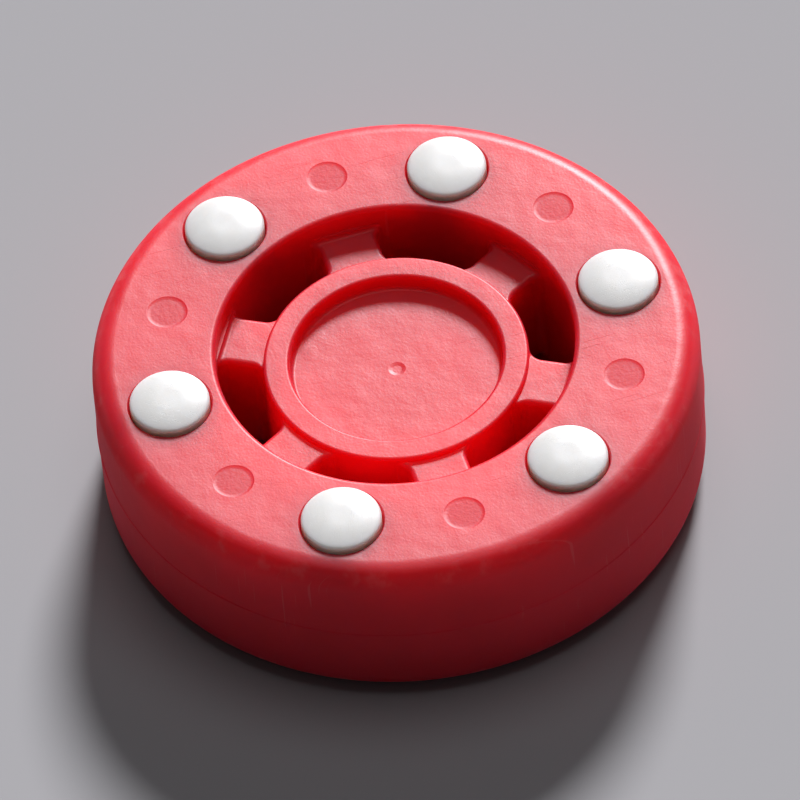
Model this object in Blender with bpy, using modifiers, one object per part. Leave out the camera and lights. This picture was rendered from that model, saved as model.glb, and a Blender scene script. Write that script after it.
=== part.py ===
"""Inline hockey puck: one moulded body and six runners that float up and down in its bores.

The origin is on the ground under the centre of the puck, which stands on its lower runner heads.
+Z is up along the axis, and runner 1 lies on +X. Each runner is two halves that snap together
through the body, so that a head shows on both faces.
"""

import math

import bmesh
import bpy
from mathutils import Vector

MM = 0.001

# Overall sizes
PUCK_DIAMETER = 76.2 * MM
BODY_HEIGHT = 22.0 * MM
RUNNER_COUNT = 6

# Moulded body, in plan
RING_INNER_RADIUS = 22.4 * MM
HUB_RADIUS = 16.6 * MM
DISH_RADIUS = 13.3 * MM
SPOKE_WIDTH = 7.4 * MM
SPOKE_CORNER_RADIUS = 1.5 * MM

# Moulded body, in height: each level is measured down from the ring's face
HUB_LIP_DROP = 2.75 * MM
SPOKE_DROP = 3.5 * MM
DISH_FLOOR_DROP = 4.95 * MM
RIM_EDGE_RADIUS = 3.0 * MM
INNER_EDGE_RADIUS = 0.6 * MM
DISH_FLOOR_FILLET = 0.6 * MM
SPOKE_EDGE_RADIUS = 0.5 * MM

# Runners
RUNNER_CIRCLE_RADIUS = 29.2 * MM
HEAD_DIAMETER = 10.0 * MM
HEAD_HEIGHT = 2.4 * MM
CROWN_FLAT_RADIUS = 1.2 * MM
CROWN_DOME_RADIUS = 14.0 * MM
HEAD_EDGE_RADIUS = 0.4 * MM
SHANK_RADIUS = 3.0 * MM
RUNNER_TRAVEL = 0.5 * MM
STOP_GAP = 0.1 * MM

# The snap joint inside a runner
HALVES_GAP = 0.2 * MM
PRONG_RADIUS = 1.6 * MM
PRONG_LENGTH = 6.0 * MM
BARB_RADIUS = 2.0 * MM
BARB_LENGTH = 1.6 * MM
BARB_CREST = 1.1 * MM
THROAT_RADIUS = 1.85 * MM
GROOVE_RADIUS = 2.2 * MM
SOCKET_CLEARANCE = 0.4 * MM

# Bores in the body
BORE_RADIUS = 3.2 * MM
SEAT_RADIUS = 5.2 * MM
SEAT_DEPTH = 1.8 * MM
SEAT_MOUTH_CHAMFER = 0.2 * MM

# How finely round shapes are divided
RING_STEPS = 80
HUB_STEPS = 64
BORE_STEPS = 24
RUNNER_STEPS = 20
EDGE_ARC_STEP = 1.2 * MM
EDGE_ARC_MIN_STEPS = 2
CROWN_DOME_STEPS = 4
HEAD_EDGE_STEPS = 3
CORNER_ARC_STEPS = 4
CREASE_ANGLE = math.radians(35)
FACE_EDGE_ANGLE = math.radians(60)

# Helpers reach this far past what they cut or join
OVERLAP = 1.0 * MM
CORNER_BITE = 0.03 * MM
MERGE_DISTANCE = 0.00001

# Levels above the ground, worked out from the sizes above
PUCK_RADIUS = PUCK_DIAMETER / 2
HEAD_RADIUS = HEAD_DIAMETER / 2
BODY_BOTTOM = HEAD_HEIGHT - SEAT_DEPTH + STOP_GAP
BODY_TOP = BODY_BOTTOM + BODY_HEIGHT
BODY_MIDDLE = (BODY_BOTTOM + BODY_TOP) / 2
RUNNER_TOP = BODY_TOP + HEAD_HEIGHT - SEAT_DEPTH + STOP_GAP + RUNNER_TRAVEL
RUNNER_MIDDLE = RUNNER_TOP / 2

MOULDED_RED = (0.62, 0.012, 0.035, 1.0)
NYLON_WHITE = (0.86, 0.87, 0.84, 1.0)
BODY_ROUGHNESS = 0.42
RUNNER_ROUGHNESS = 0.35


def clear_scene():
    for obj in list(bpy.data.objects):
        bpy.data.objects.remove(obj)


def new_collection(name):
    collection = bpy.data.collections.new(name)
    bpy.context.scene.collection.children.link(collection)
    return collection


def new_material(name, colour, roughness):
    material = bpy.data.materials.new(name)
    material.use_nodes = True
    shader = material.node_tree.nodes["Principled BSDF"]
    shader.inputs["Base Color"].default_value = colour
    shader.inputs["Roughness"].default_value = roughness
    shader.inputs["Metallic"].default_value = 0.0
    return material


def arc(centre, radius, start, end, steps):
    """Points on an arc, both ends included. Angles are in radians."""
    points = []
    for i in range(steps + 1):
        angle = start + (end - start) * i / steps
        points.append((centre[0] + radius * math.cos(angle), centre[1] + radius * math.sin(angle)))
    return points


def rounded_corner(before, corner, after, radius):
    """A quarter circle in place of a right-angled corner, in the profile's own direction."""
    back = (Vector(before) - Vector(corner)).normalized() * radius
    ahead = (Vector(after) - Vector(corner)).normalized() * radius
    centre = Vector(corner) + back + ahead
    steps = max(EDGE_ARC_MIN_STEPS, round(radius * math.pi / 2 / EDGE_ARC_STEP))
    points = []
    for i in range(steps + 1):
        turn = math.pi / 2 * i / steps
        points.append(centre - ahead * math.cos(turn) - back * math.sin(turn))
    return points


def rounded_profile(corners):
    """Profile points (radius, height) from a loop of corners (radius, height, edge radius)."""
    points = []
    for i, (across, height, edge_radius) in enumerate(corners):
        if edge_radius:
            before = corners[i - 1][:2]
            after = corners[(i + 1) % len(corners)][:2]
            points += rounded_corner(before, (across, height), after, edge_radius)
        else:
            points.append((across, height))
    return points


def turned(name, profile, closed, steps, collection):
    """A solid of revolution about Z. The profile runs down its outer side."""
    shape = bmesh.new()
    verts = [shape.verts.new((across, 0, height)) for across, height in profile]
    for first, second in zip(verts, verts[1:]):
        shape.edges.new((first, second))
    if closed:
        shape.edges.new((verts[-1], verts[0]))
    mesh = bpy.data.meshes.new(name)
    shape.to_mesh(mesh)
    shape.free()
    obj = bpy.data.objects.new(name, mesh)
    collection.objects.link(obj)
    screw = obj.modifiers.new("Turn", "SCREW")
    screw.steps = steps
    screw.render_steps = steps
    screw.use_merge_vertices = True
    screw.merge_threshold = MERGE_DISTANCE
    screw.use_normal_calculate = False
    screw.use_smooth_shade = True
    return obj


def add_boolean(obj, helper, operation):
    boolean = obj.modifiers.new(f"{operation.title()} {helper.name}", "BOOLEAN")
    boolean.operation = operation
    boolean.object = helper
    helper.hide_render = True
    helper.display_type = "WIRE"


def evaluated_mesh(obj):
    bpy.context.view_layer.update()
    graph = bpy.context.evaluated_depsgraph_get()
    return bpy.data.meshes.new_from_object(obj.evaluated_get(graph))


def finish_part(obj, material):
    """Applies the modifiers, and shades the piece smooth up to its creases."""
    mesh = evaluated_mesh(obj)
    obj.modifiers.clear()
    obj.data = mesh
    mesh.name = obj.name
    mesh.shade_smooth()
    mesh.set_sharp_from_angle(angle=CREASE_ANGLE)
    mesh.materials.clear()
    mesh.materials.append(material)


def runner_angle(index):
    return 2 * math.pi * index / RUNNER_COUNT


def make_ring(collection):
    profile = rounded_profile(
        [
            (RING_INNER_RADIUS, BODY_TOP, INNER_EDGE_RADIUS),
            (PUCK_RADIUS, BODY_TOP, RIM_EDGE_RADIUS),
            (PUCK_RADIUS, BODY_BOTTOM, RIM_EDGE_RADIUS),
            (RING_INNER_RADIUS, BODY_BOTTOM, INNER_EDGE_RADIUS),
        ]
    )
    return turned("puck_body", profile, True, RING_STEPS, collection)


def make_hub(collection):
    """The centre disc, dished on both faces inside a raised lip."""
    upper = [
        (0, BODY_TOP - DISH_FLOOR_DROP, 0),
        (DISH_RADIUS, BODY_TOP - DISH_FLOOR_DROP, DISH_FLOOR_FILLET),
        (DISH_RADIUS, BODY_TOP - HUB_LIP_DROP, INNER_EDGE_RADIUS),
        (HUB_RADIUS, BODY_TOP - HUB_LIP_DROP, INNER_EDGE_RADIUS),
    ]
    lower = [(across, 2 * BODY_MIDDLE - height, edge_radius) for across, height, edge_radius in upper]
    return turned("hub", rounded_profile(upper + lower[::-1]), False, HUB_STEPS, collection)


def spoke_outline():
    """Plan of a spoke along +X, with its four corners flared into the hub and the ring."""
    half = SPOKE_WIDTH / 2
    flare = SPOKE_CORNER_RADIUS
    hub = HUB_RADIUS - CORNER_BITE
    ring = RING_INNER_RADIUS + CORNER_BITE
    hub_x = math.sqrt((hub + flare) ** 2 - (half + flare) ** 2)
    ring_x = math.sqrt((ring - flare) ** 2 - (half + flare) ** 2)
    hub_bearing = math.atan2(half + flare, hub_x)
    ring_bearing = math.atan2(half + flare, ring_x)
    side = [((hub - OVERLAP) * math.cos(hub_bearing), (hub - OVERLAP) * math.sin(hub_bearing))]
    hub_end = -math.pi / 2
    side += arc((hub_x, half + flare), flare, hub_bearing - math.pi, hub_end, CORNER_ARC_STEPS)
    side += arc((ring_x, half + flare), flare, hub_end, ring_bearing, CORNER_ARC_STEPS)
    side.append(((ring + OVERLAP) * math.cos(ring_bearing), (ring + OVERLAP) * math.sin(ring_bearing)))
    return side + [(x, -y) for x, y in reversed(side)]


def make_spoke_mesh(collection):
    """One spoke, extruded from a 2D curve."""
    curve = bpy.data.curves.new("spoke_outline", "CURVE")
    curve.dimensions = "2D"
    curve.fill_mode = "BOTH"
    curve.extrude = BODY_HEIGHT / 2 - SPOKE_DROP
    outline = spoke_outline()
    spline = curve.splines.new("POLY")
    spline.points.add(len(outline) - 1)
    for point, (x, y) in zip(spline.points, outline):
        point.co = (x, y, 0, 1)
    spline.use_cyclic_u = True
    drawn = bpy.data.objects.new("spoke_outline", curve)
    collection.objects.link(drawn)
    mesh = evaluated_mesh(drawn)
    bpy.data.objects.remove(drawn)
    shape = bmesh.new()
    shape.from_mesh(mesh)
    bmesh.ops.remove_doubles(shape, verts=shape.verts, dist=MERGE_DISTANCE)
    bmesh.ops.recalc_face_normals(shape, faces=shape.faces)
    shape.to_mesh(mesh)
    shape.free()
    return mesh


def add_spokes(body, collection):
    mesh = make_spoke_mesh(collection)
    for index in range(RUNNER_COUNT):
        spoke = bpy.data.objects.new(f"spoke_{index + 1}", mesh)
        collection.objects.link(spoke)
        spoke.location = (0, 0, BODY_MIDDLE)
        spoke.rotation_euler = (0, 0, runner_angle(index + 0.5))
        bevel = spoke.modifiers.new("Round edges", "BEVEL")
        bevel.width = SPOKE_EDGE_RADIUS
        bevel.segments = 1
        bevel.limit_method = "ANGLE"
        bevel.angle_limit = FACE_EDGE_ANGLE
        add_boolean(body, spoke, "UNION")


def bore_cutter_profile():
    """A stepped bore: the shank's hole, with a seat for a head at both faces."""
    mouth = SEAT_RADIUS + SEAT_MOUTH_CHAMFER + OVERLAP
    upper = [
        (0, BODY_TOP + OVERLAP),
        (mouth, BODY_TOP + OVERLAP),
        (SEAT_RADIUS, BODY_TOP - SEAT_MOUTH_CHAMFER),
        (SEAT_RADIUS, BODY_TOP - SEAT_DEPTH),
        (BORE_RADIUS, BODY_TOP - SEAT_DEPTH),
    ]
    return upper + [(across, 2 * BODY_MIDDLE - height) for across, height in reversed(upper)]


def cut_bores(body, collection):
    for index in range(RUNNER_COUNT):
        cutter = turned(f"bore_cutter_{index + 1}", bore_cutter_profile(), False, BORE_STEPS, collection)
        angle = runner_angle(index)
        cutter.location = (RUNNER_CIRCLE_RADIUS * math.cos(angle), RUNNER_CIRCLE_RADIUS * math.sin(angle), 0)
        cutter.rotation_euler = (0, 0, angle)
        add_boolean(body, cutter, "DIFFERENCE")


def make_body(parts, helpers, material):
    body = make_ring(parts)
    add_boolean(body, make_hub(helpers), "UNION")
    add_spokes(body, helpers)
    cut_bores(body, helpers)
    finish_part(body, material)


def crown_profile():
    """The upper head from the axis to its foot: a flat, a shallow dome, a round edge and a side."""
    dome_centre = (CROWN_FLAT_RADIUS, RUNNER_TOP - CROWN_DOME_RADIUS)
    edge_x = HEAD_RADIUS - HEAD_EDGE_RADIUS
    lean = math.acos((edge_x - CROWN_FLAT_RADIUS) / (CROWN_DOME_RADIUS - HEAD_EDGE_RADIUS))
    edge_z = dome_centre[1] + (CROWN_DOME_RADIUS - HEAD_EDGE_RADIUS) * math.sin(lean)
    dome = arc(dome_centre, CROWN_DOME_RADIUS, math.pi / 2, lean, CROWN_DOME_STEPS)
    edge = arc((edge_x, edge_z), HEAD_EDGE_RADIUS, lean, 0, HEAD_EDGE_STEPS)
    return [(0, RUNNER_TOP)] + dome + edge[1:] + [(HEAD_RADIUS, RUNNER_TOP - HEAD_HEIGHT)]


def pin_profile():
    """The upper half: head, shank, and a barbed prong that snaps into the socket."""
    end = RUNNER_MIDDLE + HALVES_GAP / 2
    tip = end - PRONG_LENGTH
    return crown_profile() + [
        (SHANK_RADIUS, RUNNER_TOP - HEAD_HEIGHT),
        (SHANK_RADIUS, end),
        (PRONG_RADIUS, end),
        (PRONG_RADIUS, tip + BARB_LENGTH),
        (BARB_RADIUS, tip + BARB_CREST),
        (PRONG_RADIUS, tip),
        (0, tip),
    ]


def socket_profile():
    """The lower half: head, and a hollow shank with a groove behind its throat for the barb."""
    end = RUNNER_MIDDLE - HALVES_GAP / 2
    groove_bottom = RUNNER_MIDDLE + HALVES_GAP / 2 - PRONG_LENGTH - SOCKET_CLEARANCE
    groove_top = groove_bottom + BARB_LENGTH + 2 * SOCKET_CLEARANCE
    head = [(across, RUNNER_TOP - height) for across, height in reversed(crown_profile())]
    return [
        (0, groove_bottom),
        (GROOVE_RADIUS, groove_bottom),
        (GROOVE_RADIUS, groove_top - SOCKET_CLEARANCE),
        (THROAT_RADIUS, groove_top),
        (THROAT_RADIUS, end),
        (SHANK_RADIUS, end),
        (SHANK_RADIUS, HEAD_HEIGHT),
    ] + head


def make_runners(parts, material):
    """Twelve halves, in pairs on six empties that stand on the float axes."""
    for index in range(RUNNER_COUNT):
        angle = runner_angle(index)
        axis = bpy.data.objects.new(f"runner_{index + 1}_axis", None)
        axis.location = (RUNNER_CIRCLE_RADIUS * math.cos(angle), RUNNER_CIRCLE_RADIUS * math.sin(angle), 0)
        axis.rotation_euler = (0, 0, angle)
        parts.objects.link(axis)
        for half, profile in (("pin", pin_profile()), ("socket", socket_profile())):
            runner = turned(f"runner_{index + 1}_{half}", profile, False, RUNNER_STEPS, parts)
            runner.parent = axis
            finish_part(runner, material)


def main():
    clear_scene()
    parts = new_collection("hockey_puck")
    helpers = new_collection("helpers")
    make_body(parts, helpers, new_material("moulded_red", MOULDED_RED, BODY_ROUGHNESS))
    make_runners(parts, new_material("nylon_white", NYLON_WHITE, RUNNER_ROUGHNESS))


main()
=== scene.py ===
"""Looks of the inline hockey puck: a moulded red body and six floating nylon runners.

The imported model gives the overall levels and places. The sizes it has no box for are named below.
Lengths are in metres, in the model's own frame: +Z up, runner 1 on +X, the ground at 0.
"""

import math

import bmesh
import bpy
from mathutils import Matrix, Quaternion, Vector


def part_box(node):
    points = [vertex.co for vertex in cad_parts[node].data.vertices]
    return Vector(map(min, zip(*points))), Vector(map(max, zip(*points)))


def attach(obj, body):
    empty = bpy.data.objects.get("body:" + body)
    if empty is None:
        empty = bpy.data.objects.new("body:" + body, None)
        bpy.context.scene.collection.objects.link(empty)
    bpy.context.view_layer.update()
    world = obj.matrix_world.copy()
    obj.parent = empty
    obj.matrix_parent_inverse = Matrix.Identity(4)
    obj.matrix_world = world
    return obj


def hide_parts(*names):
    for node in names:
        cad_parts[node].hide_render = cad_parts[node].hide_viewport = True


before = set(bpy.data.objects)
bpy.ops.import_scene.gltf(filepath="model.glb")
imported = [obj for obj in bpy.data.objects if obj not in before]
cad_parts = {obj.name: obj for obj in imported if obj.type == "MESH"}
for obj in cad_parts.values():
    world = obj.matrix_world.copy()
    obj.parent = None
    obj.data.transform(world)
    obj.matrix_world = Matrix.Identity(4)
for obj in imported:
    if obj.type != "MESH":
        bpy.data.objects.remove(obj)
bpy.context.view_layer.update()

MM = 0.001
RUNNER_COUNT = 6

# Levels and places taken from the model's boxes
BODY_LOW, BODY_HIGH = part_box("puck_body")
PIN_LOW, PIN_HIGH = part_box("runner_1_pin")
SOCKET_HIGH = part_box("runner_1_socket")[1]
PUCK_RADIUS = (BODY_HIGH.x - BODY_LOW.x) / 2
BODY_TOP = BODY_HIGH.z
BODY_MIDDLE = (BODY_LOW.z + BODY_HIGH.z) / 2
HALF_HEIGHT = BODY_TOP - BODY_MIDDLE
RUNNER_CIRCLE_RADIUS = (PIN_LOW.x + PIN_HIGH.x) / 2
HEAD_RADIUS = (PIN_HIGH.x - PIN_LOW.x) / 2
RUNNER_TOP = PIN_HIGH.z
RUNNER_MIDDLE = RUNNER_TOP / 2
HALVES_GAP = 2 * (RUNNER_MIDDLE - SOCKET_HIGH.z)

# The moulded body, in plan and then down from the ring's face
RING_INNER_RADIUS = 22.4 * MM
HUB_RADIUS = 16.6 * MM
DISH_RADIUS = 13.3 * MM
SPOKE_HALF_WIDTH = 3.7 * MM
HUB_LIP_DROP = 2.75 * MM
SPOKE_DROP = 3.5 * MM
DISH_FLOOR_DROP = 4.95 * MM
RIM_EDGE_RADIUS = 3.0 * MM
RING_INNER_EDGE_RADIUS = 0.7 * MM
HUB_EDGE_RADIUS = 0.45 * MM
DISH_EDGE_RADIUS = 0.5 * MM
DISH_FLOOR_FILLET = 0.6 * MM
SPOKE_EDGE_RADIUS = 0.7 * MM
SPOKE_PLAN_FILLET = 1.5 * MM
SPOKE_RISE_AT_HUB = 0.25 * MM
SPOKE_RISE_AT_RING = 0.7 * MM

# Traces of moulding on the body
WALL_DRAFT = 0.09 * MM
PARTING_BEAD_HEIGHT = 0.10 * MM
PARTING_BEAD_HALF_WIDTH = 0.17 * MM
GATE_RADIUS = 1.1 * MM
GATE_DEPTH = 0.10 * MM
GATE_SLOPE = 0.5 * MM
EJECTOR_RADIUS = 2.6 * MM
EJECTOR_DEPTH = 0.14 * MM
EJECTOR_SLOPE = 0.7 * MM

# Bores
BORE_RADIUS = 3.2 * MM
SEAT_RADIUS = 5.2 * MM
SEAT_DEPTH = 1.8 * MM
SEAT_MOUTH_RADIUS = 0.3 * MM
SEAT_FLOOR_FILLET = 0.25 * MM

# Runners
HEAD_HEIGHT = 2.4 * MM
CROWN_FLAT_RADIUS = 1.2 * MM
CROWN_DOME_RADIUS = 14.0 * MM
HEAD_EDGE_RADIUS = 0.4 * MM
SKIRT_EDGE_RADIUS = 0.2 * MM
SHANK_RADIUS = 3.0 * MM
PRONG_RADIUS = 1.6 * MM
BARB_RADIUS = 2.0 * MM
BARB_LENGTH = 1.6 * MM
BARB_CREST = 1.1 * MM
THROAT_RADIUS = 1.85 * MM
GROOVE_RADIUS = 2.2 * MM
SOCKET_CLEARANCE = 0.4 * MM
SMALL_EDGE_RADIUS = 0.12 * MM
RUNNER_SPIN = math.radians(47)

# How finely round shapes are divided
RING_STEPS = 240
HUB_STEPS = 192
BORE_STEPS = 64
RUNNER_STEPS = 72
EDGE_STEPS = 6
RIM_STEPS = 14
CROWN_STEPS = 12
FILLET_STEPS = 10
CREASE_ANGLE = math.radians(32)

# Helpers reach past what they cut, and fillets bite a little into the walls they run out on
OVERLAP = 1.0 * MM
BITE = 0.02 * MM
MERGE_DISTANCE = 0.000002
LEVEL_TOLERANCE = 0.000002

# Scratches on either material. A set is its bearing in degrees, length, width and share of the surface
SCRATCH_FADE = 0.06
SCRATCH_PATCH_SPACING = 1.7
SCRATCH_PATCH_RAMP = (0.48, 0.62)

# Noise lies near the middle of 0 to 1, so ramps across it start and end inside that
COLOUR_RAMP = (0.30, 0.70)
ROUGHNESS_RAMP = (0.25, 0.75)
NOISE_ROUGHNESS = 0.55

# The red PVC: its colours, its grain, how it is worn, and the shade painted on its ejector marks
DEEP_RED = (0.71, 0.009, 0.025, 1.0)
WARM_RED = (0.77, 0.013, 0.033, 1.0)
SCUFFED_RED = (0.77, 0.12, 0.13, 1.0)
RED_ROUGHNESS = (0.42, 0.48)
RED_SPECULAR = 0.52
RED_SCATTER_SCALE = 11.0 * MM
RED_SCATTER_RADIUS = (1.0, 0.05, 0.04)
MOTTLE_SIZE = 14.0 * MM
GRAIN_SIZE = 0.32 * MM
GRAIN_DEPTH = 0.021 * MM
PEEL_SIZE = 1.6 * MM
PEEL_DEPTH = 0.028 * MM
WAVE_SIZE = 4.2 * MM
WAVE_DEPTH = 0.080 * MM
RIM_WEAR_SIZE = 2.6 * MM
RIM_WEAR_START = 0.25 * MM
RIM_WEAR_FULL = 1.2 * MM
RIM_WEAR_RAMP = (0.50, 0.72)
RIM_WEAR = 0.50
RED_SCRATCHES = ((24, 16 * MM, 0.22 * MM, 0.30), (103, 11 * MM, 0.18 * MM, 0.29))
SCRATCH_WEAR = 0.40
SCRATCH_DEPTH = 0.015 * MM
WORN_ROUGHNESS = 0.25
WALL_ROUGHNESS = 0.40
WALL_MATT_START = PUCK_RADIUS - 1.4 * MM
WALL_MATT_FULL = PUCK_RADIUS - 0.4 * MM
MARK_ROUGHNESS = 0.13
# Painted shade: the ejector marks get a darker red, standing in for the light that their sunken, stippled
# faces scatter away
MARK_PAINTED_SHADE = (0.52, 0.006, 0.018, 1.0)
MARK_PAINTED_SHADE_SHARE = 0.25
MARK_FADE = 0.7 * MM
MARK_GRAIN_SIZE = 0.55 * MM
MARK_GRAIN_DEPTH = 0.040 * MM

# The nylon
NYLON_WHITE = (0.74, 0.745, 0.715, 1.0)
NYLON_CREAM = (0.695, 0.695, 0.66, 1.0)
SCUFFED_NYLON = (0.62, 0.62, 0.59, 1.0)
NYLON_ROUGHNESS = (0.30, 0.40)
NYLON_SCATTER_SCALE = 2.5 * MM
NYLON_SCATTER_RADIUS = (1.0, 0.9, 0.8)
CLOUD_SIZE = 3.0 * MM
NYLON_GRAIN_SIZE = 0.25 * MM
NYLON_GRAIN_DEPTH = 0.006 * MM
NYLON_SCRATCHES = ((15, 3.0 * MM, 0.09 * MM, 0.36), (80, 2.4 * MM, 0.08 * MM, 0.34))
NYLON_SCRATCH_WEAR = 0.35
NYLON_SCRATCH_DEPTH = 0.008 * MM
CROWN_WEAR = 0.10
CROWN_WEAR_START = CROWN_FLAT_RADIUS * 0.9
CROWN_WEAR_END = CROWN_FLAT_RADIUS * 2.0
WORN_NYLON_ROUGHNESS = 0.5

# The camera and the studio
VIEW_AZIMUTH = math.radians(-13.0)
VIEW_ELEVATION = math.radians(49.6)
VIEW_ROLL = math.radians(-5.3)
CAMERA_DISTANCE = 1.5
FRAME_WIDTH = 0.100
SENSOR_WIDTH = 0.036
FLOOR_SIZE = 12.0
CLIP_DISTANCES = (0.05, 20.0)
FLOOR_COLOUR = (0.39, 0.39, 0.395, 1.0)
FLOOR_ROUGHNESS = 0.9
FLOOR_SPECULAR = 0.2
LAMP_COLOUR = (1.0, 0.985, 1.03)
SKY_COLOUR = (0.90, 0.93, 1.0, 1.0)
SKY_STRENGTH = 0.042

# Lamps: azimuth from the camera's right-hand side, elevation and apparent width in degrees, strength
LAMPS = {"key": (75, 34, 14, 5.05), "top": (60, 80, 40, 0.42)}


# --- Meshes -------------------------------------------------------------------------------------


def link(name, mesh):
    obj = bpy.data.objects.new(name, mesh)
    bpy.context.scene.collection.objects.link(obj)
    return obj


def arc(centre, radius, start, end, steps):
    """Points on an arc, both ends included. Angles are in radians."""
    points = []
    for i in range(steps + 1):
        turn = start + (end - start) * i / steps
        points.append(Vector(centre) + Vector((math.cos(turn), math.sin(turn))) * radius)
    return points


def rounded_corner(before, corner, after, radius, steps):
    """An arc in place of a corner, tangent to both of its sides."""
    corner = Vector(corner)
    back = (Vector(before) - corner).normalized()
    ahead = (Vector(after) - corner).normalized()
    half = back.angle(ahead) / 2
    centre = corner + (back + ahead).normalized() * radius / math.sin(half)
    start = corner + back * radius / math.tan(half) - centre
    end = corner + ahead * radius / math.tan(half) - centre
    return [centre + start.slerp(end, i / steps) * radius for i in range(steps + 1)]


def rounded_profile(corners):
    """Profile points (radius, height) from a loop of corners (radius, height, edge radius, steps)."""
    points = []
    for i, (across, height, edge_radius, steps) in enumerate(corners):
        if edge_radius:
            before = corners[i - 1][:2]
            after = corners[(i + 1) % len(corners)][:2]
            points += rounded_corner(before, (across, height), after, edge_radius, steps)
        else:
            points.append(Vector((across, height)))
    return points


def turned(name, profile, steps, closed=False):
    """A solid of revolution about Z, from a profile that runs down its outer side."""
    shape = bmesh.new()
    verts = [shape.verts.new((across, 0, height)) for across, height in profile]
    for first, second in zip(verts, verts[1:]):
        shape.edges.new((first, second))
    if closed:
        shape.edges.new((verts[-1], verts[0]))
    mesh = bpy.data.meshes.new(name)
    shape.to_mesh(mesh)
    shape.free()
    obj = link(name, mesh)
    screw = obj.modifiers.new("Turn", "SCREW")
    screw.steps = steps
    screw.render_steps = steps
    screw.use_merge_vertices = True
    screw.merge_threshold = MERGE_DISTANCE
    screw.use_normal_calculate = False
    bake_modifiers(obj)
    return obj


def bake_modifiers(obj):
    bpy.context.view_layer.update()
    graph = bpy.context.evaluated_depsgraph_get()
    mesh = bpy.data.meshes.new_from_object(obj.evaluated_get(graph))
    obj.modifiers.clear()
    obj.data = mesh
    mesh.name = obj.name


def mirrored(points):
    """The same profile below the body's middle, continued downwards."""
    return [(across, 2 * BODY_MIDDLE - height, *rest) for across, height, *rest in reversed(points)]


def combine(obj, helpers, operation):
    """Joins the helpers to a piece, or cuts them from it, and removes them."""
    for helper in helpers:
        boolean = obj.modifiers.new(helper.name, "BOOLEAN")
        boolean.operation = operation
        boolean.object = helper
    bake_modifiers(obj)
    for helper in helpers:
        bpy.data.objects.remove(helper)


def shade(obj):
    """Shades the piece smooth up to its creases."""
    obj.data.shade_smooth()
    obj.data.set_sharp_from_angle(angle=CREASE_ANGLE)
    weighted = obj.modifiers.new("Flat faces", "WEIGHTED_NORMAL")
    weighted.keep_sharp = True
    bake_modifiers(obj)


def flatten_levels(obj, levels):
    """Makes the shading at each flat level exactly flat, however its faces are divided."""
    mesh = obj.data
    normals = [corner.vector.copy() for corner in mesh.corner_normals]
    for loop in mesh.loops:
        height = mesh.vertices[loop.vertex_index].co.z
        on_level = min(abs(height - level) for level in levels) < LEVEL_TOLERANCE
        upright = normals[loop.index].z
        if on_level and abs(upright) > math.cos(CREASE_ANGLE):
            normals[loop.index] = Vector((0, 0, math.copysign(1, upright)))
    mesh.normals_split_custom_set(normals)


def around(index):
    """The angle of a runner. A half, such as 2.5, is the middle of the gap between two."""
    return 2 * math.pi * index / RUNNER_COUNT


def on_runner_circle(angle, height=0.0):
    return Vector((math.cos(angle), math.sin(angle), 0)) * RUNNER_CIRCLE_RADIUS + Vector((0, 0, height))


# --- The moulded body ---------------------------------------------------------------------------


def make_ring():
    """The thick outer ring. Its wall swells by the moulding draft to a fine bead at the parting line."""
    wall = PUCK_RADIUS - PARTING_BEAD_HEIGHT
    upper = [
        (RING_INNER_RADIUS, BODY_TOP, RING_INNER_EDGE_RADIUS, EDGE_STEPS),
        (wall - WALL_DRAFT, BODY_TOP, RIM_EDGE_RADIUS, RIM_STEPS),
        (wall, BODY_MIDDLE + PARTING_BEAD_HALF_WIDTH, 0, 0),
        (PUCK_RADIUS, BODY_MIDDLE + PARTING_BEAD_HALF_WIDTH / 3, 0, 0),
    ]
    return turned("puck_shell", rounded_profile(upper + mirrored(upper)), RING_STEPS, closed=True)


def make_hub():
    """The hub, dished on both faces. The upper dish has the gate's small dimple."""
    floor = BODY_TOP - DISH_FLOOR_DROP
    gate = [
        (0, floor - GATE_DEPTH, 0, 0),
        (GATE_RADIUS - GATE_SLOPE, floor - GATE_DEPTH, GATE_SLOPE / 2, EDGE_STEPS),
        (GATE_RADIUS, floor, GATE_SLOPE / 2, EDGE_STEPS),
    ]
    dish = [
        (DISH_RADIUS, floor, DISH_FLOOR_FILLET, EDGE_STEPS),
        (DISH_RADIUS, BODY_TOP - HUB_LIP_DROP, DISH_EDGE_RADIUS, EDGE_STEPS),
        (HUB_RADIUS, BODY_TOP - HUB_LIP_DROP, HUB_EDGE_RADIUS, EDGE_STEPS),
    ]
    lower_floor = [(0, floor, 0, 0)]
    return turned("hub", rounded_profile(gate + dish + mirrored(lower_floor + dish)), HUB_STEPS)


def fillet_rise(distance, radius):
    """How far a fillet has risen at a distance from the wall that it runs up."""
    if distance >= radius:
        return 0.0
    if distance <= 0:
        return radius
    return radius - math.sqrt(radius ** 2 - (radius - distance) ** 2)


def spoke_section(shape, reach):
    """One cross-section of a spoke: a rounded rectangle wrapped on the cylinder of radius reach."""
    from_hub = reach - (HUB_RADIUS - BITE)
    from_ring = RING_INNER_RADIUS + BITE - reach
    half_width = SPOKE_HALF_WIDTH + fillet_rise(min(from_hub, from_ring), SPOKE_PLAN_FILLET)
    half_height = HALF_HEIGHT - SPOKE_DROP
    half_height += fillet_rise(from_hub, SPOKE_RISE_AT_HUB) + fillet_rise(from_ring, SPOKE_RISE_AT_RING)
    corners = [
        (-half_width, half_height, SPOKE_EDGE_RADIUS, EDGE_STEPS),
        (half_width, half_height, SPOKE_EDGE_RADIUS, EDGE_STEPS),
        (half_width, -half_height, SPOKE_EDGE_RADIUS, EDGE_STEPS),
        (-half_width, -half_height, SPOKE_EDGE_RADIUS, EDGE_STEPS),
    ]
    verts = []
    for across, height in rounded_profile(corners):
        along = math.sqrt(reach ** 2 - across ** 2)
        verts.append(shape.verts.new((along, across, BODY_MIDDLE + height)))
    return verts


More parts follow.
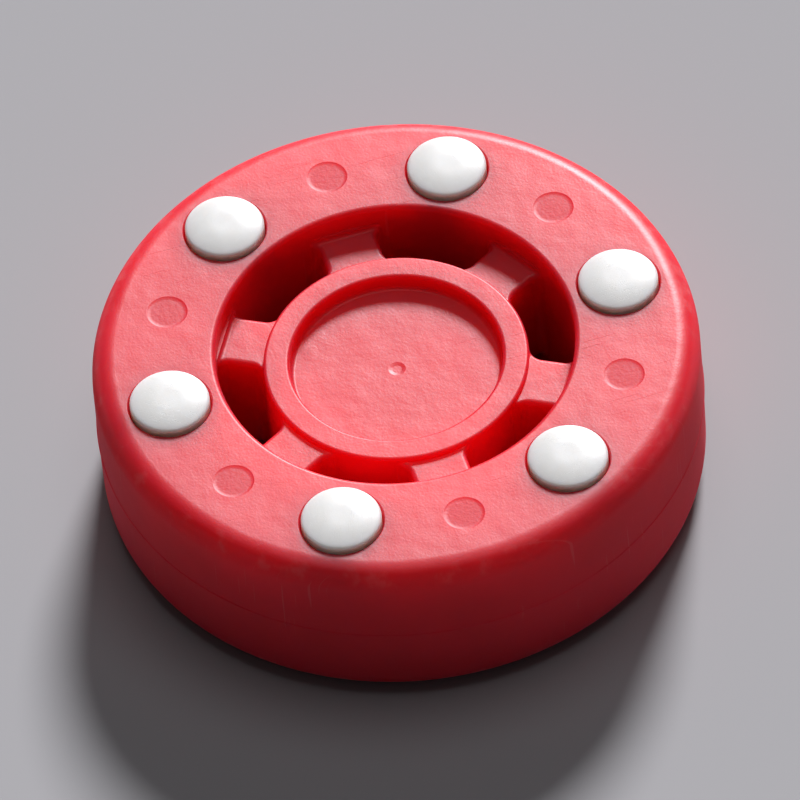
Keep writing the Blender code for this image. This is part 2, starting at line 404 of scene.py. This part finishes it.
def spoke_reaches():
    """Radii of a spoke's sections, close together where its fillets turn up the two walls."""
    reaches = [HUB_RADIUS - OVERLAP]
    for i in range(FILLET_STEPS + 1):
        turn = math.pi / 2 * i / FILLET_STEPS
        reaches.append(HUB_RADIUS - BITE + SPOKE_PLAN_FILLET * (1 - math.cos(turn)))
    total = HUB_RADIUS + RING_INNER_RADIUS
    return reaches + [total - reach for reach in reversed(reaches)]


def make_spoke(index):
    """A spoke lofted from hub to ring, with fillets where it meets both."""
    shape = bmesh.new()
    sections = [spoke_section(shape, reach) for reach in spoke_reaches()]
    for inner, outer in zip(sections, sections[1:]):
        for i in range(len(inner)):
            shape.faces.new((inner[i - 1], inner[i], outer[i], outer[i - 1]))
    caps = [shape.faces.new(sections[0]), shape.faces.new(sections[-1])]
    bmesh.ops.triangulate(shape, faces=caps)
    bmesh.ops.recalc_face_normals(shape, faces=shape.faces)
    mesh = bpy.data.meshes.new(f"spoke_{index}")
    shape.to_mesh(mesh)
    shape.free()
    spoke = link(mesh.name, mesh)
    spoke.rotation_euler = (0, 0, around(index + 0.5))
    return spoke


def bore_profile():
    """A stepped bore with a seat for a runner's head at both faces, eased at its mouth."""
    mouth = SEAT_RADIUS + SEAT_MOUTH_RADIUS
    ease_centre = Vector((mouth, BODY_TOP - SEAT_MOUTH_RADIUS + BITE))
    points = [Vector((0, BODY_TOP + OVERLAP)), Vector((mouth, BODY_TOP + OVERLAP))]
    for i in range(EDGE_STEPS + 1):
        turn = math.pi / 2 * (1 + i / EDGE_STEPS)
        points.append(ease_centre + Vector((math.cos(turn), math.sin(turn))) * SEAT_MOUTH_RADIUS)
    seat = (SEAT_RADIUS, BODY_TOP - SEAT_DEPTH)
    points += rounded_corner(points[-1], seat, (BORE_RADIUS, seat[1]), SEAT_FLOOR_FILLET, EDGE_STEPS)
    points.append(Vector((BORE_RADIUS, seat[1])))
    return points + mirrored(points)


def make_bore(index):
    bore = turned(f"bore_{index}", bore_profile(), BORE_STEPS)
    bore.location = on_runner_circle(around(index))
    bore.rotation_euler = (0, 0, around(index))
    return bore


def make_ejector_mark(index, side):
    """A shallow soft-edged mark between two runners. Side is 1 for the upper face, -1 for the lower."""
    flare = OVERLAP * EJECTOR_SLOPE / (2 * EJECTOR_DEPTH)
    profile = [Vector((0, HALF_HEIGHT + OVERLAP)), Vector((EJECTOR_RADIUS + flare, HALF_HEIGHT + OVERLAP))]
    for i in range(1, FILLET_STEPS + 1):
        inwards = i / FILLET_STEPS
        sink = EJECTOR_DEPTH * (1 - (1 - inwards) ** 2)
        profile.append(Vector((EJECTOR_RADIUS - EJECTOR_SLOPE * inwards, HALF_HEIGHT - sink)))
    profile.append(Vector((0, HALF_HEIGHT - EJECTOR_DEPTH)))
    mark = turned(f"mark_{index}_{side}", profile, BORE_STEPS)
    mark.location = on_runner_circle(around(index + 0.5), BODY_MIDDLE)
    if side < 0:
        mark.rotation_euler = (math.pi, 0, 0)
    return mark


def make_body():
    body = make_ring()
    spokes = [make_spoke(index) for index in range(RUNNER_COUNT)]
    combine(body, [make_hub()] + spokes, "UNION")
    cutters = [make_bore(index) for index in range(RUNNER_COUNT)]
    for index in range(RUNNER_COUNT):
        cutters.append(make_ejector_mark(index, 1))
        cutters.append(make_ejector_mark(index, -1))
    combine(body, cutters, "DIFFERENCE")
    shade(body)
    drops = (0, HUB_LIP_DROP, SPOKE_DROP, DISH_FLOOR_DROP, EJECTOR_DEPTH, SEAT_DEPTH)
    flatten_levels(body, [BODY_MIDDLE + side * (HALF_HEIGHT - drop) for drop in drops for side in (1, -1)])
    return body


# --- Runners ------------------------------------------------------------------------------------


def crown_points():
    """The upper head from its crown to its foot: a flat, a shallow dome, a round edge and a side."""
    dome_centre = (CROWN_FLAT_RADIUS, RUNNER_TOP - CROWN_DOME_RADIUS)
    edge_x = HEAD_RADIUS - HEAD_EDGE_RADIUS
    lean = math.acos((edge_x - CROWN_FLAT_RADIUS) / (CROWN_DOME_RADIUS - HEAD_EDGE_RADIUS))
    edge_z = dome_centre[1] + (CROWN_DOME_RADIUS - HEAD_EDGE_RADIUS) * math.sin(lean)
    dome = arc(dome_centre, CROWN_DOME_RADIUS, math.pi / 2, lean, CROWN_STEPS)
    edge = arc((edge_x, edge_z), HEAD_EDGE_RADIUS, lean, 0, EDGE_STEPS)
    foot = (HEAD_RADIUS, RUNNER_TOP - HEAD_HEIGHT)
    skirt = rounded_corner(edge[-1], foot, (SHANK_RADIUS, foot[1]), SKIRT_EDGE_RADIUS, EDGE_STEPS)
    return [Vector((0, RUNNER_TOP))] + dome + edge[1:] + skirt


def pin_profile():
    """The upper half: head, shank, and a barbed prong that snaps into the socket."""
    end = RUNNER_MIDDLE + HALVES_GAP / 2
    tip = PIN_LOW.z
    corners = [
        (SHANK_RADIUS, RUNNER_TOP - HEAD_HEIGHT, 0, 0),
        (SHANK_RADIUS, end, SMALL_EDGE_RADIUS, EDGE_STEPS),
        (PRONG_RADIUS, end, 0, 0),
        (PRONG_RADIUS, tip + BARB_LENGTH, 0, 0),
        (BARB_RADIUS, tip + BARB_CREST, SMALL_EDGE_RADIUS, EDGE_STEPS),
        (PRONG_RADIUS, tip, SMALL_EDGE_RADIUS, EDGE_STEPS),
        (0, tip, 0, 0),
    ]
    return crown_points() + rounded_profile(corners)


def socket_profile():
    """The lower half: head, and a hollow shank with a groove behind its throat for the barb."""
    end = SOCKET_HIGH.z
    groove_bottom = PIN_LOW.z - SOCKET_CLEARANCE
    groove_top = groove_bottom + BARB_LENGTH + 2 * SOCKET_CLEARANCE
    corners = [
        (0, groove_bottom, 0, 0),
        (GROOVE_RADIUS, groove_bottom, SMALL_EDGE_RADIUS, EDGE_STEPS),
        (GROOVE_RADIUS, groove_top - SOCKET_CLEARANCE, 0, 0),
        (THROAT_RADIUS, groove_top, 0, 0),
        (THROAT_RADIUS, end, SMALL_EDGE_RADIUS, EDGE_STEPS),
        (SHANK_RADIUS, end, SMALL_EDGE_RADIUS, EDGE_STEPS),
        (SHANK_RADIUS, HEAD_HEIGHT, 0, 0),
    ]
    head = [Vector((across, RUNNER_TOP - height)) for across, height in reversed(crown_points())]
    return rounded_profile(corners) + head


def make_runner_half(index, half, profile, material):
    piece = turned(f"runner_{index + 1}_{half}_nylon", profile, RUNNER_STEPS)
    piece.location = on_runner_circle(around(index))
    piece.rotation_euler = (0, 0, around(index) + RUNNER_SPIN * index)
    piece.data.materials.append(material)
    shade(piece)
    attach(piece, f"runner_{index + 1}")
    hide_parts(f"runner_{index + 1}_{half}")


# --- Materials ----------------------------------------------------------------------------------


class Surface:
    """A material whose nodes are added in plain steps. Values may be numbers, colours or sockets."""

    def __init__(self, name):
        self.material = bpy.data.materials.new(name)
        self.material.use_nodes = True
        self.tree = self.material.node_tree
        self.shader = self.tree.nodes["Principled BSDF"]
        self.place = self.add("ShaderNodeTexCoord").outputs["Object"]
        self.split = self.add("ShaderNodeSeparateXYZ", {"Vector": self.place}).outputs
        self.away = self.length(self.split["X"], self.split["Y"])

    def add(self, kind, inputs=None, **settings):
        node = self.tree.nodes.new(kind)
        for key, value in settings.items():
            setattr(node, key, value)
        for key, value in (inputs or {}).items():
            self.feed(node.inputs[key], value)
        return node

    def feed(self, socket, value):
        if isinstance(value, bpy.types.NodeSocket):
            self.tree.links.new(value, socket)
        else:
            socket.default_value = value

    def math(self, operation, first, second=0.0):
        return self.add("ShaderNodeMath", {0: first, 1: second}, operation=operation).outputs[0]

    def length(self, first, second):
        """The length of a vector with these two components."""
        squares = [self.math("MULTIPLY", value, value) for value in (first, second)]
        return self.math("SQRT", self.math("ADD", *squares))

    def noise(self, size, detail=2.0, place=None):
        """Noise whose features are about size across."""
        inputs = {"Vector": place or self.place, "Scale": 1 / size, "Detail": detail}
        inputs["Roughness"] = NOISE_ROUGHNESS
        return self.add("ShaderNodeTexNoise", inputs).outputs["Fac"]

    def ramp(self, value, low, high, to_low=0.0, to_high=1.0):
        """A smooth step of value from low to high."""
        inputs = {"Value": value, "From Min": low, "From Max": high, "To Min": to_low, "To Max": to_high}
        return self.add("ShaderNodeMapRange", inputs, interpolation_type="SMOOTHSTEP").outputs["Result"]

    def mix(self, factor, first, second):
        node = self.add("ShaderNodeMix", data_type="RGBA")
        self.feed(node.inputs[0], factor)
        self.feed(node.inputs[6], first)
        self.feed(node.inputs[7], second)
        return node.outputs[2]

    def scratches(self, bearing, length, width, share):
        """Fine straight marks along one bearing, where stretched noise passes a threshold."""
        turn = (0, 0, math.radians(bearing))
        inputs = {"Vector": self.place, "Rotation": turn, "Scale": (width / length, 1, width / length)}
        stretched = self.add("ShaderNodeMapping", inputs).outputs[0]
        lines = self.noise(width, 1.0, stretched)
        patches = self.noise(length * SCRATCH_PATCH_SPACING, 1.0)
        strength = self.ramp(lines, 1 - share, 1 - share + SCRATCH_FADE)
        return self.math("MULTIPLY", strength, self.ramp(patches, *SCRATCH_PATCH_RAMP))

    def bump(self, height, distance, below=None):
        inputs = {"Height": height, "Distance": distance, "Strength": 1.0}
        if below is not None:
            inputs["Normal"] = below
        return self.add("ShaderNodeBump", inputs).outputs["Normal"]

    def scatter(self, weight, radius, scale):
        self.shader.inputs["Subsurface Weight"].default_value = weight
        self.shader.inputs["Subsurface Radius"].default_value = radius
        self.shader.inputs["Subsurface Scale"].default_value = scale


def ejector_marks(surface):
    """1 on the marks between the runners. The plan is folded into one sector with a mark in its middle."""
    sector = 2 * math.pi / RUNNER_COUNT
    angle = surface.math("ARCTAN2", surface.split["Y"], surface.split["X"])
    folded = surface.math("SUBTRACT", surface.math("FLOORED_MODULO", angle, sector), sector / 2)
    across = surface.math("MULTIPLY", folded, RUNNER_CIRCLE_RADIUS)
    outwards = surface.math("SUBTRACT", surface.away, RUNNER_CIRCLE_RADIUS)
    reach = surface.length(across, outwards)
    return surface.ramp(reach, EJECTOR_RADIUS - MARK_FADE, EJECTOR_RADIUS, 1.0, 0.0)


def moulded_red():
    """Satin PVC: a faintly mottled red with a moulded grain, matt on its wall, scuffed on its rims, and
    with painted shade on the ejector marks.
    """
    surface = Surface("moulded_red")
    off_middle = surface.math("ABSOLUTE", surface.math("SUBTRACT", surface.split["Z"], BODY_MIDDLE))
    mottle = surface.noise(MOTTLE_SIZE, 3.0)
    mark = ejector_marks(surface)

    rim_reach = surface.math("ADD", surface.away, off_middle)
    rim_start = PUCK_RADIUS + HALF_HEIGHT - RIM_EDGE_RADIUS
    rim = surface.ramp(rim_reach, rim_start + RIM_WEAR_START, rim_start + RIM_WEAR_FULL)
    rubbed = surface.ramp(surface.noise(RIM_WEAR_SIZE, 4.0), *RIM_WEAR_RAMP)
    rubbed = surface.math("MULTIPLY", rim, rubbed)
    scratched = surface.math("MAXIMUM", *[surface.scratches(*marks) for marks in RED_SCRATCHES])
    wear = surface.math(
        "MAXIMUM",
        surface.math("MULTIPLY", rubbed, RIM_WEAR),
        surface.math("MULTIPLY", scratched, SCRATCH_WEAR),
    )

    colour = surface.mix(surface.ramp(mottle, *COLOUR_RAMP), DEEP_RED, WARM_RED)
    # Painted shade: a share of a darker red laid over the ejector marks
    colour = surface.mix(surface.math("MULTIPLY", mark, MARK_PAINTED_SHADE_SHARE), colour, MARK_PAINTED_SHADE)
    surface.feed(surface.shader.inputs["Base Color"], surface.mix(wear, colour, SCUFFED_RED))

    roughness = surface.ramp(mottle, *ROUGHNESS_RAMP, *RED_ROUGHNESS)
    roughness = surface.math("ADD", roughness, surface.math("MULTIPLY", wear, WORN_ROUGHNESS))
    roughness = surface.math("ADD", roughness, surface.math("MULTIPLY", mark, MARK_ROUGHNESS))
    wall = surface.ramp(surface.away, WALL_MATT_START, WALL_MATT_FULL)
    roughness = surface.math("ADD", roughness, surface.math("MULTIPLY", wall, WALL_ROUGHNESS))
    surface.feed(surface.shader.inputs["Roughness"], roughness)

    texture = surface.bump(surface.noise(GRAIN_SIZE, 3.0), GRAIN_DEPTH)
    texture = surface.bump(surface.noise(PEEL_SIZE, 2.0), PEEL_DEPTH, texture)
    texture = surface.bump(surface.noise(WAVE_SIZE, 1.0), WAVE_DEPTH, texture)
    stipple = surface.math("MULTIPLY", mark, surface.noise(MARK_GRAIN_SIZE, 1.0))
    texture = surface.bump(stipple, MARK_GRAIN_DEPTH, texture)
    texture = surface.bump(surface.math("SUBTRACT", 1.0, scratched), SCRATCH_DEPTH, texture)
    surface.feed(surface.shader.inputs["Normal"], texture)
    surface.shader.inputs["Specular IOR Level"].default_value = RED_SPECULAR
    surface.scatter(1.0, RED_SCATTER_RADIUS, RED_SCATTER_SCALE)
    return surface.material


def nylon_white():
    """Natural nylon: translucent white, dulled and finely scratched on the crown's flat."""
    surface = Surface("nylon_white")
    cloud = surface.noise(CLOUD_SIZE, 3.0)
    crown = surface.ramp(surface.away, CROWN_WEAR_START, CROWN_WEAR_END, 1.0, 0.0)
    scratched = surface.math("MAXIMUM", *[surface.scratches(*marks) for marks in NYLON_SCRATCHES])
    dulled = surface.math("ADD", surface.math("MULTIPLY", scratched, NYLON_SCRATCH_WEAR), CROWN_WEAR)
    wear = surface.math("MULTIPLY", crown, dulled)

    colour = surface.mix(surface.ramp(cloud, *COLOUR_RAMP), NYLON_WHITE, NYLON_CREAM)
    surface.feed(surface.shader.inputs["Base Color"], surface.mix(wear, colour, SCUFFED_NYLON))
    roughness = surface.ramp(cloud, *ROUGHNESS_RAMP, *NYLON_ROUGHNESS)
    roughness = surface.math("ADD", roughness, surface.math("MULTIPLY", wear, WORN_NYLON_ROUGHNESS))
    surface.feed(surface.shader.inputs["Roughness"], roughness)
    texture = surface.bump(surface.noise(NYLON_GRAIN_SIZE, 2.0), NYLON_GRAIN_DEPTH)
    texture = surface.bump(surface.math("SUBTRACT", 1.0, scratched), NYLON_SCRATCH_DEPTH, texture)
    surface.feed(surface.shader.inputs["Normal"], texture)
    surface.scatter(1.0, NYLON_SCATTER_RADIUS, NYLON_SCATTER_SCALE)
    return surface.material


def studio_floor():
    surface = Surface("studio_floor")
    surface.shader.inputs["Base Color"].default_value = FLOOR_COLOUR
    surface.shader.inputs["Roughness"].default_value = FLOOR_ROUGHNESS
    surface.shader.inputs["Specular IOR Level"].default_value = FLOOR_SPECULAR
    return surface.material


# --- The studio ---------------------------------------------------------------------------------


def direction(azimuth, elevation):
    """From the puck outwards. Azimuth is anticlockwise from the camera's right-hand side."""
    turn = VIEW_AZIMUTH + azimuth
    flat = math.cos(elevation)
    return Vector((math.cos(turn) * flat, math.sin(turn) * flat, math.sin(elevation)))


def make_camera():
    camera = bpy.data.cameras.new("camera")
    camera.sensor_width = SENSOR_WIDTH * 1000
    camera.lens = camera.sensor_width * CAMERA_DISTANCE / FRAME_WIDTH
    camera.clip_start, camera.clip_end = CLIP_DISTANCES
    obj = bpy.data.objects.new("camera", camera)
    bpy.context.scene.collection.objects.link(obj)
    out = direction(math.radians(-90), VIEW_ELEVATION)
    aim = Vector((0, 0, BODY_MIDDLE))
    obj.location = aim + out * CAMERA_DISTANCE
    obj.rotation_mode = "QUATERNION"
    obj.rotation_quaternion = (-out).to_track_quat("-Z", "Y") @ Quaternion((0, 0, 1), VIEW_ROLL)
    bpy.context.scene.camera = obj


def make_lamp(name, azimuth, elevation, spread, strength):
    """A soft distant lamp."""
    light = bpy.data.lights.new(name, "SUN")
    light.angle = math.radians(spread)
    light.energy = strength
    light.color = LAMP_COLOUR
    obj = bpy.data.objects.new(name, light)
    bpy.context.scene.collection.objects.link(obj)
    out = direction(math.radians(azimuth), math.radians(elevation))
    obj.rotation_mode = "QUATERNION"
    obj.rotation_quaternion = (-out).to_track_quat("-Z", "Y")


def make_studio():
    """A pale floor, a soft key behind and to the right, a weak broad one above, and a faint sky."""
    bpy.ops.mesh.primitive_plane_add(size=FLOOR_SIZE)
    floor = bpy.context.object
    floor.name = "floor"
    floor.data.materials.append(studio_floor())
    for name, settings in LAMPS.items():
        make_lamp(name, *settings)
    world = bpy.data.worlds.new("studio_world")
    world.use_nodes = True
    world.node_tree.nodes["Background"].inputs["Color"].default_value = SKY_COLOUR
    world.node_tree.nodes["Background"].inputs["Strength"].default_value = SKY_STRENGTH
    bpy.context.scene.world = world
    bpy.context.scene.view_settings.view_transform = "Standard"


def main():
    body = make_body()
    body.data.materials.clear()
    body.data.materials.append(moulded_red())
    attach(body, "body")
    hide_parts("puck_body")

    nylon = nylon_white()
    halves = {"pin": pin_profile(), "socket": socket_profile()}
    for index in range(RUNNER_COUNT):
        for half, profile in halves.items():
            make_runner_half(index, half, profile, nylon)

    make_studio()
    make_camera()


main()
